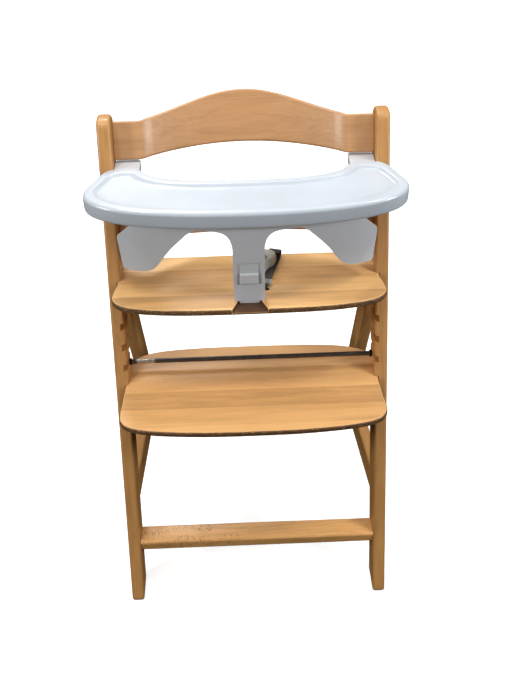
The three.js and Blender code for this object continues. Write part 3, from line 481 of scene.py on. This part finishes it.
def normals_in(points):
    n = len(points)
    area = sum(points[i][0] * points[(i + 1) % n][1] - points[(i + 1) % n][0] * points[i][1] for i in range(n))
    k = 1 if area > 0 else -1
    out = []
    for i in range(n):
        a = Vector(points[i]) - Vector(points[i - 1])
        b = Vector(points[(i + 1) % n]) - Vector(points[i])
        a.normalize(); b.normalize()
        na, nb = Vector((-a.y * k, a.x * k)), Vector((-b.y * k, b.x * k))
        m = (na + nb).normalized()
        out.append(m / max(0.6, m.dot(na)))
    return out


def rings(points, profile):
    """Loops of an outline, moved in by d and set at height z for each (d, z)."""
    nn = normals_in(points)
    return [[(p[0] + m.x * d, p[1] + m.y * d, z) for p, m in zip(points, nn)] for d, z in profile]


def corner(r, n, z, sign):
    """The (inset, height) pairs of a quarter round from the flat to the side. sign +1 for a top edge at height z."""
    return [(r * (1 - math.sin(a)), z - sign * r * (1 - math.cos(a))) for a in (math.pi / 2 * i / n for i in range(n + 1))]


def piece(name, verts, faces, mats, face_mats=None, smooth=35.0, weld=0.0, attributes=None, recalc=True, body=None, replaces=()):
    me = bpy.data.meshes.new(name)
    me.from_pydata(verts, [], faces)
    if attributes:
        for key, values in attributes.items():
            at = me.attributes.new(key, "FLOAT", "POINT")
            at.data.foreach_set("value", np.array(values, np.float32))
    for m in mats:
        me.materials.append(m)
    if face_mats is not None:
        me.polygons.foreach_set("material_index", face_mats)
    bm = bmesh.new()
    bm.from_mesh(me)
    if weld:
        bmesh.ops.remove_doubles(bm, verts=bm.verts, dist=weld)
    if recalc:
        bmesh.ops.recalc_face_normals(bm, faces=bm.faces)
    bm.to_mesh(me)
    bm.free()
    me.validate()
    me.polygons.foreach_set("use_smooth", [True] * len(me.polygons))
    me.set_sharp_from_angle(angle=math.radians(smooth))
    me.update()
    o = bpy.data.objects.new(name, me)
    scene.collection.objects.link(o)
    if body:
        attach(o, body)
    if replaces:
        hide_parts(*replaces)
    return o


def soften(o, width=0.0, segments=2, angle=42.0, weighted=True):
    if width:
        b = o.modifiers.new("edge", "BEVEL")
        b.width = width
        b.segments = segments
        b.limit_method = "ANGLE"
        b.angle_limit = math.radians(angle)
        b.harden_normals = False
        b.use_clamp_overlap = True
        b.miter_outer = "MITER_ARC"
    if weighted:
        w = o.modifiers.new("shade", "WEIGHTED_NORMAL")
        w.keep_sharp = True
        w.weight = 60
    return o


def refined(node, mat, body, bevel=0.0004, segments=2, angle=50.0, dissolve=0.8, merge=2e-5, smooth=40.0, name=None):
    """A fine copy of a CAD node: welded, its flats made whole again, edges eased and shaded smooth."""
    bm = bmesh.new()
    bm.from_mesh(NODES[node].data)
    bmesh.ops.remove_doubles(bm, verts=bm.verts, dist=merge)
    bmesh.ops.dissolve_limit(bm, angle_limit=math.radians(dissolve), use_dissolve_boundaries=False, verts=bm.verts, edges=bm.edges)
    bmesh.ops.recalc_face_normals(bm, faces=bm.faces)
    big = {f for f in bm.faces if f.calc_area() > 1.2e-3}
    me = bpy.data.meshes.new((name or node) + "_fine")
    # the wear layer marks the narrow faces along the edges; the plastics lighten them there, partly rubbing, partly a
    # painted highlight
    layer = bm.loops.layers.float.new("wear")
    for f in bm.faces:
        for loop in f.loops:
            if f in big:
                loop[layer] = 0.0
            else:
                near = any(g in big for g in loop.vert.link_faces)
                bent = max((f.normal.angle(g.normal, 0.0) for g in loop.vert.link_faces), default=0.0)
                loop[layer] = 0.0 if near or bent < 0.1 or bent > 1.2 else 1.0
    bm.to_mesh(me)
    bm.free()
    me.materials.append(mat)
    me.polygons.foreach_set("use_smooth", [True] * len(me.polygons))
    me.set_sharp_from_angle(angle=math.radians(smooth))
    o = bpy.data.objects.new((name or node) + "_fine", me)
    scene.collection.objects.link(o)
    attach(o, body)
    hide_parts(node)
    return soften(o, bevel, segments, angle)


def cap(loops, base_index, flip=False):
    """Triangles for a flat face with holes. loops: lists of (x, y, z); base_index: index of each loop's first vertex."""
    tris = tessellate_polygon([[Vector(p) for p in loop] for loop in loops])
    flat = []
    for b, loop in zip(base_index, loops):
        flat += [b + i for i in range(len(loop))]
    return [tuple(flat[i] for i in (t[::-1] if flip else t)) for t in tris]


def strip(a, b, n):
    return [(a + i, a + (i + 1) % n, b + (i + 1) % n, b + i) for i in range(n)]


# ------------------------------------------------------------------ side frames, cross board, tie bar
for side in ("left", "right"):
    refined(f"upright_{side}", M[f"upright_{side}"], "frame", bevel=0.0005)
    refined(f"rear_leg_{side}", M[f"leg_{side}"], "frame", bevel=0.0004)
    refined(f"side_brace_{side}", M[f"brace_{side}"], "frame", bevel=0.0004)
    for bolt in ("tie_bar_bolt", "cross_board_bolt", "upper_back_bolt_low", "upper_back_bolt_high", "lower_back_bolt_low", "lower_back_bolt_high"):
        refined(f"{bolt}_{side}", M["zinc"], "frame", bevel=0.00025, segments=2, angle=35.0, smooth=32.0, merge=1e-5)
    for dowel in ("leg_dowel_upper", "leg_dowel_lower", "brace_dowel_front", "brace_dowel_rear"):
        for s in NODES[f"{dowel}_{side}"].material_slots:
            s.material = M["dowel"]
refined("cross_board", M["cross"], "frame", bevel=0.0005)


def turned(name, profile, y, z, sides, mat, body, replaces=()):
    """A piece turned about an axis along X: profile of (x, radius), in mm."""
    verts, faces = [], []
    for x, r in profile:
        verts += [P(x, y + r * math.cos(2 * math.pi * k / sides), z + r * math.sin(2 * math.pi * k / sides)) for k in range(sides)]
    for i in range(len(profile) - 1):
        faces += strip(i * sides, (i + 1) * sides, sides)
    faces.append(tuple(range(sides)))
    last = (len(profile) - 1) * sides
    faces.append(tuple(last + k for k in range(sides)))
    return piece(name, verts, faces, [mat], body=body, replaces=replaces, smooth=40)


BAR_Y, BAR_Z = 217.0, 398.0
turned("tie_bar_round", [(-210.2, 3.4), (-209.6, 4.0), (-120, 4.0), (0, 4.0), (120, 4.0), (209.6, 4.0), (210.2, 3.4)], BAR_Y, BAR_Z, 40, M["steel"], "frame", ("tie_bar",))
for s, side in ((-1, "left"), (1, "right")):
    turned(f"tie_bar_collar_{side}", [(s * 206.0, 4.05), (s * 206.0, 5.6), (s * 206.5, 6.1), (s * 209.5, 6.1), (s * 210.2, 5.6), (s * 210.2, 4.05)], BAR_Y, BAR_Z, 36, M["collar"], "frame")


# ------------------------------------------------------------------ bent backrest boards
def smoothstep(a, lo, hi):
    t = min(1.0, max(0.0, (a - lo) / (hi - lo)))
    return t * t * (3 - 2 * t)


def bow(x):
    a = abs(x)
    b = BACK_SET + BACK_BOW * max(0.0, 1 - (a / 167.0) ** 2)
    k = smoothstep(a, 146.0, 186.0)
    return b * (1 - k) + BACK_SET * k


def hump(x, w):
    return 0.5 * (1 + math.cos(math.pi * min(1.0, abs(x) / w)))


def bent_board(name, node, lower, upper, mat, radius=3.7, n=170):
    end = XI - GAP
    xs = [-end, -end + 0.7] + list(np.linspace(-end + 2.5, end - 2.5, n)) + [end - 0.7, end]
    r = radius
    verts, layer, edge = [], [], []
    m = None
    for i, x in enumerate(xs):
        tight = 0.6 if i in (0, len(xs) - 1) else 0.0
        slope = (bow(x + 0.5) - bow(x - 0.5)) * COS
        k = 0.0 if abs(x) > end - 1 else slope
        length = math.hypot(1, k)
        f = bow(x) * COS
        s0, s1 = lower(x) + tight, upper(x) - tight
        t0, t1 = tight, BACK_THICK - tight
        loop = []
        for c, (ct, cs) in enumerate(((t0 + r, s0 + r), (t0 + r, s1 - r), (t1 - r, s1 - r), (t1 - r, s0 + r))):
            start = (math.pi * 1.5, math.pi, math.pi * 0.5, 0.0)[c]
            for j in range(8):
                a = start - math.pi / 2 * j / 7
                loop.append((ct + r * math.cos(a), cs + r * math.sin(a), j))
        m = len(loop)
        for t, s, j in loop:
            nn = f + t / length
            verts.append(P(x - (k / length) * t, nn * COS + s * SIN, -nn * SIN + s * COS))
            layer.append(t)
            edge.append(min(1.0, math.sin(math.pi / 2 * j / 7) if False else 1.0 - abs(t - BACK_THICK / 2) / (BACK_THICK / 2)) if True else 0.0)
    faces = []
    for i in range(len(xs) - 1):
        faces += strip(i * m, (i + 1) * m, m)
    faces.append(tuple(range(m)))
    faces.append(tuple((len(xs) - 1) * m + j for j in range(m)))
    return piece(name, verts, faces, [mat], attributes={"layer": layer, "edge": edge}, body="frame", replaces=(node,), smooth=50)


def up_lean(x, z):
    return z / COS + bow(x) * SIN


bent_board("backrest_upper_bent", "backrest_upper", lambda x: up_lean(x, 712.0), lambda x: up_lean(x, 767.0 + 21.0 * hump(x, 165.0)), M["back_upper"])
bent_board("backrest_lower_bent", "backrest_lower", lambda x: 597.0 / COS + BACK_SET * SIN, lambda x: 658.0 / COS + BACK_SET * SIN + 12.0 * hump(x, 165.0), M["back_lower"])

# ------------------------------------------------------------------ seat and foot plates
STRAP_AT, STRAP_TURN = (20.0, 217.5), -0.3


def in_harness(x, y):
    return (STRAP_AT[0] + x * math.cos(STRAP_TURN) - y * math.sin(STRAP_TURN), STRAP_AT[1] + x * math.sin(STRAP_TURN) + y * math.cos(STRAP_TURN))


def round_rect(x0, x1, y0, y1, r, n=5):
    out = []
    for cx, cy, start in ((x1 - r, y1 - r, 0), (x0 + r, y1 - r, 90), (x0 + r, y0 + r, 180), (x1 - r, y0 + r, 270)):
        out += [(cx + r * math.cos(math.radians(start + 90 * i / n)), cy + r * math.sin(math.radians(start + 90 * i / n))) for i in range(n + 1)]
    return out


def plate(name, node, outline, z, mats, body, holes=(), r=3.0):
    outline = refine(clean(outline), 6.0)
    h = PLATE / 2
    n = len(outline)
    profile = corner(r, 7, h, 1) + corner(r, 7, -h, -1)[::-1]
    profile = [(d, z + dz) for d, dz in profile]
    loops = rings(outline, profile)
    verts, edge, faces, fm = [], [], [], []
    rows = len(loops)
    for i, loop in enumerate(loops):
        d = profile[i][0]
        for p in loop:
            verts.append(P(*p))
            edge.append(1.0 - d / r)
    for i in range(rows - 1):
        q = strip(i * n, (i + 1) * n, n)
        faces += q
        fm += [1] * len(q)
    tops, bottoms, tb, bb = [loops[0]], [loops[-1]], [0], [(rows - 1) * n]
    for hole in holes:
        k = len(hole)
        base = len(verts)
        hp = [(d * 0.35, zz) for d, zz in profile]
        hr = rings(hole, [(-d, zz) for d, zz in hp])
        for i, loop in enumerate(hr):
            for p in loop:
                verts.append(P(*p))
                edge.append(1.0 - profile[i][0] / r)
        for i in range(rows - 1):
            q = strip(base + i * k, base + (i + 1) * k, k)
            faces += q
            fm += [1] * len(q)
        tops.append(hr[0]); tb.append(base)
        bottoms.append(hr[-1]); bb.append(base + (rows - 1) * k)
    for loops_, bases in ((tops, tb), (bottoms, bb)):
        c = cap(loops_, bases)
        faces += c
        fm += [0] * len(c)
    return piece(name, verts, faces, mats, face_mats=fm, attributes={"edge": edge}, body=body, replaces=(node,), smooth=40)


seat_half = [(0, 160.6), (20, 160.6)]
seat_half += spline([(40, 160.6), (70, 161), (110, 162.5), (150, 166), (185, 172.5), (205, 180), (217, 190), (222.5, 202), (222, 216), (219.5, 230)], 60)
seat_half += [(216.9, 238), (216.9, 284)]
seat_half += spline([(216.9, 288), (213.5, 297), (206, 306), (195, 313), (180, 316.6), (150, 317.4)], 22) + [(0, 318)]
REBATE = [(29.0, 158.0), (19.0, 182.0), (18.4, 188.0), (-18.4, 188.0), (-19.0, 182.0), (-29.0, 158.0)]
REBATE_DEEP = 5.4
slot_hole = [in_harness(x, y) for x, y in round_rect(-12.5, 12.5, -3, 3, 2.5)]
seat = plate("seat_plate_rounded", "seat_plate", mirror(seat_half), SEAT_Z, [M["seat"], M["seat_rim"], M["rebate"]], "seat", holes=[slot_hole])


def cut_rebate(o):
    """Cuts the recess under the crotch post out of the seat's front edge, a little flared."""
    me = bpy.data.meshes.new("cutter")
    top, low = SEAT_TOP + 4.0, SEAT_TOP - REBATE_DEEP
    lower = [(31.0, 150.0), (29.6, 157.6), (19.2, 181.6), (18.4, 187.2), (-18.4, 187.2), (-19.2, 181.6), (-29.6, 157.6), (-31.0, 150.0)]
    upper = [(x * 1.03, y + (0.6 if y > 180 else 0.0)) for x, y in lower]
    verts = [P(x, y, low) for x, y in lower] + [P(x, y, top) for x, y in upper]
    n = len(lower)
    me.from_pydata(verts, [], strip(0, n, n) + [tuple(range(n)), tuple(n + i for i in range(n))])
    for k in range(3):
        me.materials.append(o.data.materials[k])
    # the cut faces take the dark recess material, which carries painted shade from the post
    me.polygons.foreach_set("material_index", [2] * len(me.polygons))
    bm = bmesh.new()
    bm.from_mesh(me)
    bmesh.ops.recalc_face_normals(bm, faces=bm.faces)
    bm.to_mesh(me)
    bm.free()
    cutter = bpy.data.objects.new("cutter", me)
    scene.collection.objects.link(cutter)
    b = o.modifiers.new("rebate", "BOOLEAN")
    b.object, b.operation, b.solver, b.material_mode = cutter, "DIFFERENCE", "EXACT", "INDEX"
    bpy.context.view_layer.update()
    done = bpy.data.meshes.new_from_object(o.evaluated_get(bpy.context.evaluated_depsgraph_get()))
    o.modifiers.remove(b)
    o.data = done
    bpy.data.objects.remove(cutter)
    done.set_sharp_from_angle(angle=math.radians(40))


cut_rebate(seat)
foot_half = [(0, 52)] + spline([(30, 52), (80, 53.2), (128, 56.5), (165, 61), (195, 68), (211, 77), (219, 89), (220.5, 102), (219, 125), (217.8, 150)], 60)
foot_half += [(216.9, 162), (216.9, 224)]
foot_half += spline([(216.9, 228), (211, 238), (199, 248), (180, 257), (153, 263.5), (98, 268), (50, 269.3)], 34) + [(0, 269.6)]
plate("foot_plate_rounded", "foot_plate", mirror(foot_half), FOOT_Z, [M["foot"], M["foot_rim"]], "footrest")

# ------------------------------------------------------------------ tray
tray_half = [(0, 172)] + spline([(30, 172.2), (75, 174.2), (131, 180.2), (181, 190), (214, 203.5), (236, 219), (246.5, 234), (249.5, 247), (248, 259), (242.5, 273), (237, 286), (232.5, 298), (227.5, 309), (221, 317.5), (213, 322.5)], 84)
tray_half += [(205, 323.6), (172, 323.6)]
tray_half += spline([(167, 321), (161, 312), (151, 301), (134, 291), (99, 281.2), (62, 276.8), (30, 275.4)], 34) + [(0, 275)]
tray_outline = refine(clean(mirror(tray_half)), 7.0)
recess_half = [(0, 184)] + spline([(30, 184.2), (75, 186.2), (131, 192.4), (176, 202.5), (204, 214), (223, 228.5), (232.5, 242), (235, 254), (231, 267), (225, 280.5), (219.5, 293), (212.5, 302), (203.5, 307), (193, 309.5), (184, 310)], 74)
recess_half += spline([(176, 307), (168, 297), (157, 287), (136, 277), (99, 268.6), (62, 264.8), (30, 263.6)], 34) + [(0, 263.4)]
recess_outline = refine(clean(mirror(recess_half)), 7.0)


def make_tray():
    r = 6.5
    under = BASE_TOP + GAP + 0.0
    profile = [(7.5, 703.45), (5.2, 703.0), (4.1, 701.0), (3.9, 697.0), (3.5, 688.5), (3.0, 686.6), (2.2, 685.7), (1.3, 685.75), (0.5, 686.7), (0.1, 688.4), (0.0, 690.5), (0.0, 697.0)]
    profile += corner(r, 10, RIM_Z, 1)[::-1]
    loops = rings(tray_outline, profile)
    n = len(tray_outline)
    verts, wear = [], []
    for i, loop in enumerate(loops):
        for x, y, z in loop:
            a = abs(x)
            # the rear shoulders follow the lean of the uprights
            if a > 203.5:
                y = min(y, front(z) - 1.0)
            # the lip is open where the guard's arms pass under it
            if 172.6 < a < 231 and y > 308 and z < 702.9:
                z = 702.9 + (z - 685.5) * 0.01
            verts.append(P(x, y, z))
            # the outer rim's rounding is marked for lightening: partly rubbing, partly a painted highlight
            wear.append(1.0 if 12 <= i <= 18 else 0.0)
    faces = []
    rows = len(loops)
    for i in range(rows - 1):
        faces += strip(i * n, (i + 1) * n, n)
    faces += cap([loops[0]], [0])
    # recess: a soft step down to the floor
    dip = [(-1.2, RIM_Z), (0.4, 711.9), (1.6, 711.4), (2.6, 710.5), (3.6, 709.3), (4.6, 708.2), (5.8, 707.35), (7.4, 706.9), (9.2, 706.8)]
    inner = rings(recess_outline, dip)
    k = len(recess_outline)
    base = len(verts)
    for i, loop in enumerate(inner):
        for p in loop:
            verts.append(P(*p))
            # the recess step's rounding is marked half as much: partly rubbing, partly a painted highlight
            wear.append(0.5 if i in (1, 2, 3) else 0.0)
    for i in range(len(inner) - 1):
        faces += strip(base + i * k, base + (i + 1) * k, k)
    faces += cap([loops[-1], inner[0]], [(rows - 1) * n, base])
    faces += cap([inner[-1]], [base + (len(inner) - 1) * k])
    return piece("tray_moulded", verts, faces, [M["tray"]], attributes={"wear": wear}, body="tray", replaces=("tray",), smooth=55)


make_tray()

# ------------------------------------------------------------------ guard and its release tongue
refined("guard", M["guard"], "guard", bevel=0.0007, segments=3, angle=42.0, dissolve=1.2, smooth=38.0)
refined("release_tongue", M["tongue"], "release", bevel=0.0006, segments=3, angle=30.0, dissolve=1.0, smooth=30.0)


# ------------------------------------------------------------------ harness strap, adjuster, buckle and button
def harness(x, s, z):
    a, b = in_harness(x, s)
    return P(a, b, z)


def make_strap():
    path = spline([(0, 524), (0, 538), (0.2, SEAT_TOP - 0.5), (2.6, SEAT_TOP + 2.6), (7, LIE), (30, LIE), (60, LIE), (87, LIE), (94, LIE + 2.6), (96.6, LIE + 7.2), (94.4, LIE + 11.6), (90, LIE + 13.8), (80, LIE + 14)], 120)
    half, thick = 10.0, 0.8
    section = []
    for cx, start in ((half - thick, -90), (-half + thick, 90)):
        section += [(cx + thick * math.cos(math.radians(start + 180 * j / 6)), thick * math.sin(math.radians(start + 180 * j / 6))) for j in range(7)]
    verts, faces, uv = [], [], []
    run = 0.0
    for i, (s, z) in enumerate(path):
        a, b = path[max(0, i - 1)], path[min(len(path) - 1, i + 1)]
        if i:
            run += math.dist(path[i - 1], path[i])
        ts, tz = b[0] - a[0], b[1] - a[1]
        k = math.hypot(ts, tz)
        ts, tz = ts / k, tz / k
        for x, h in section:
            verts.append(harness(x, s - tz * h, z + ts * h))
            uv.append((run / 1000.0, x / 1000.0))
    m = len(section)
    for i in range(len(path) - 1):
        faces += strip(i * m, (i + 1) * m, m)
    faces.append(tuple(range(m)))
    faces.append(tuple((len(path) - 1) * m + j for j in range(m)))
    # folded, sewn end under the seat
    base = len(verts)
    end = round_rect(-8, 8, 521, 525, 1.2, 4)
    for x in (-half, half):
        for s, z in end:
            verts.append(harness(x, s, z))
            uv.append((s / 1000.0, x / 1000.0))
    q = len(end)
    faces += strip(base, base + q, q)
    faces.append(tuple(base + j for j in range(q)))
    faces.append(tuple(base + q + j for j in range(q)))
    o = piece("crotch_strap_woven", verts, faces, [M["webbing"]], body="seat", replaces=("crotch_strap",), smooth=60)
    layer = o.data.uv_layers.new(name="strap")
    for loop in o.data.loops:
        layer.data[loop.index].uv = uv[loop.vertex_index]
    return o


make_strap()
refined("strap_adjuster", M["adjuster"], "strap_adjuster", bevel=0.0004, segments=3, angle=35.0, smooth=30.0)


def make_buckle():
    x0 = -14.5
    outline = [(x0 + dx, s) for dx, s in (
        [(-10.4, 27.5), (-8.0, 24.8), (0, 24.6), (8.0, 24.8), (10.4, 27.5), (12.2, 38.0), (15.0, 49.5), (19.4, 56.5), (20.9, 63.0), (20.8, 73.0), (17.2, 80.5), (10.0, 85.0), (0, 85.5), (-10.0, 85.0), (-17.2, 80.5), (-20.8, 73.0), (-20.9, 63.0), (-19.4, 56.5), (-15.0, 49.5), (-12.2, 38.0)])]
    ring = [tuple(p) for p in spline(outline + [outline[0]], 96)[:-1]]
    ring = clean(ring)
    n = len(ring)
    lo, hi = LIE + 1.2, LIE + 18.6
    mid = (lo + hi) / 2
    profile = corner(4.5, 6, lo, -1)
    profile += [(0.0, mid - 0.7), (0.6, mid - 0.35), (0.6, mid + 0.35), (0.0, mid + 0.7)]
    profile += corner(6.5, 9, hi, 1)[::-1]
    loops = rings(ring, profile)
    verts = [harness(*p) for loop in loops for p in loop]
    # the crown's rounding is marked for lightening: partly rubbing, partly a painted highlight
    wear = [1.0 if i > len(loops) - 8 else 0.0 for i, loop in enumerate(loops) for _ in loop]
    rows = len(loops)
    faces = []
    for i in range(rows - 1):
        faces += strip(i * n, (i + 1) * n, n)
    faces += cap([loops[0]], [0])
    # crown with a round well for the button
    well = [(10.6, hi), (10.1, hi - 0.15), (9.9, hi - 0.7), (9.9, LIE + 9.8), (9.4, LIE + 9.4)]
    k = 40
    base = len(verts)
    circles = []
    for r, z in well:
        c = [(x0 + r * math.cos(2 * math.pi * j / k), 56 + r * math.sin(2 * math.pi * j / k), z) for j in range(k)]
        circles.append(c)
        verts += [harness(*p) for p in c]
        # the well's rim is marked for lightening: partly rubbing, partly a painted highlight
        wear += [1.0 if r > 10 else 0.0] * k
    for i in range(len(well) - 1):
        faces += strip(base + i * k, base + (i + 1) * k, k)
    faces += cap([loops[-1], circles[0]], [(rows - 1) * n, base])
    faces.append(tuple(base + (len(well) - 1) * k + j for j in range(k)))
    return piece("buckle_housing_moulded", verts, faces, [M["buckle"]], attributes={"wear": wear}, body="seat", replaces=("buckle_housing",), smooth=45)


make_buckle()


def make_button():
    x0 = -14.5
    prof = [(9.1, 0.0), (9.3, 0.3), (9.3, 6.7), (9.1, 7.3), (8.6, 7.8), (7.6, 8.25), (6.4, 8.4), (5.6, 8.25), (4.8, 8.05), (3.0, 7.9), (1.0, 7.85)]
    k = 44
    verts, faces, wear = [], [], []
    for r, h in prof:
        verts += [harness(x0 + r * math.cos(2 * math.pi * j / k), 56 + r * math.sin(2 * math.pi * j / k), LIE + 11.0 + h) for j in range(k)]
        # the crown's rounding is marked for lightening: partly rubbing, partly a painted highlight
        wear += [1.0 if 6.6 < h < 8.4 else 0.0] * k
    for i in range(len(prof) - 1):
        faces += strip(i * k, (i + 1) * k, k)
    faces.append(tuple(range(k)))
    faces.append(tuple((len(prof) - 1) * k + j for j in range(k)))
    return piece("buckle_button_dished", verts, faces, [M["button"]], attributes={"wear": wear}, body="buckle_button", replaces=("buckle_button",), smooth=40)


make_button()

# ------------------------------------------------------------------ floor, light
t = Tree("floor_pale")
p_floor = t.place()
cloud = t.noise(p_floor, 1.3, 3.0, 0.5)
grit = t.noise(p_floor, 240.0, 2.0, 0.5)
t.finish(t.mix(cloud, (0.86, 0.86, 0.86, 1), (0.90, 0.90, 0.895, 1)), t.math("MULTIPLY_ADD", grit, 0.1, 0.72), t.bump(grit, 0.1, 0.0003), **{"Emission Color": (1.0, 1.0, 1.0, 1.0), "Emission Strength": 0.60})
floor = piece("floor", [(-14, -14, -0.0002), (14, -14, -0.0002), (14, 14, -0.0002), (-14, 14, -0.0002)], [(0, 1, 2, 3)], [t.mat], recalc=False)
floor.visible_diffuse = floor.visible_glossy = False  # the studio floor throws no light back on the object

world = bpy.data.worlds.new("studio")
scene.world = world
world.use_nodes = True
wt = world.node_tree
wt.nodes.clear()
bg = wt.nodes.new("ShaderNodeBackground")
wo = wt.nodes.new("ShaderNodeOutputWorld")
wt.links.new(bg.outputs[0], wo.inputs[0])
bg.inputs[0].default_value = (0.80, 0.80, 0.805, 1)
bg.inputs[1].default_value = 1.0
# a pale backdrop that gives no light of its own: the area lamps below do that
world.cycles_visibility.diffuse = False
world.cycles_visibility.glossy = False


def area(name, at, to, size, power, colour=(1, 1, 1)):
    d = bpy.data.lights.new(name, "AREA")
    d.shape = "RECTANGLE"
    d.size, d.size_y = size
    d.energy = power
    d.color = colour
    o = bpy.data.objects.new(name, d)
    scene.collection.objects.link(o)
    o.location = at
    o.rotation_mode = "QUATERNION"
    o.rotation_quaternion = (Vector(to) - Vector(at)).to_track_quat("-Z", "Y")
    o.visible_camera = False
    return o


area("softbox_left", (-0.85, -0.25, 2.70), (0.0, -0.05, 0.5), (0.34, 0.34), 15, (1.0, 0.985, 0.96))
area("softbox_right", (1.30, -0.15, 2.60), (0.0, -0.05, 0.5), (0.34, 0.34), 14, (1.0, 0.985, 0.96))
area("softbox_top", (0.05, 0.25, 2.75), (0.0, 0.0, 0.4), (1.8, 1.0), 12, (1.0, 0.99, 0.975))
area("softbox_rear", (-0.35, 1.35, 2.20), (0.0, 0.0, 0.4), (0.40, 0.40), 16, (1.0, 0.985, 0.96))
area("lamp_side_left", (-2.05, -0.95, 1.35), (0.0, -0.05, 0.62), (0.5, 0.5), 26, (1.0, 0.99, 0.97))
area("lamp_side_right", (2.10, -0.90, 1.35), (0.0, -0.05, 0.62), (0.5, 0.5), 28, (0.98, 0.99, 1.0))
area("dome_top", (0.0, -0.2, 3.4), (0.0, -0.1, 0.0), (5.0, 5.0), 21, (1.0, 1.0, 1.0))
area("dome_front", (0.0, -4.0, 1.9), (0.0, 0.0, 0.6), (5.5, 2.4), 19, (1.0, 1.0, 1.0))
area("dome_back", (0.0, 4.0, 1.9), (0.0, 0.0, 0.6), (5.5, 2.4), 10, (1.0, 1.0, 1.0))
far = area("softbox_far", (0.0, 4.8, 3.6), (0.0, 4.8, 0.0), (6.0, 4.0), 70, (1.0, 1.0, 1.0))
far.visible_glossy = False  # lights the floor only, with no mirror image in the gloss

# ------------------------------------------------------------------ the end
bpy.context.view_layer.update()
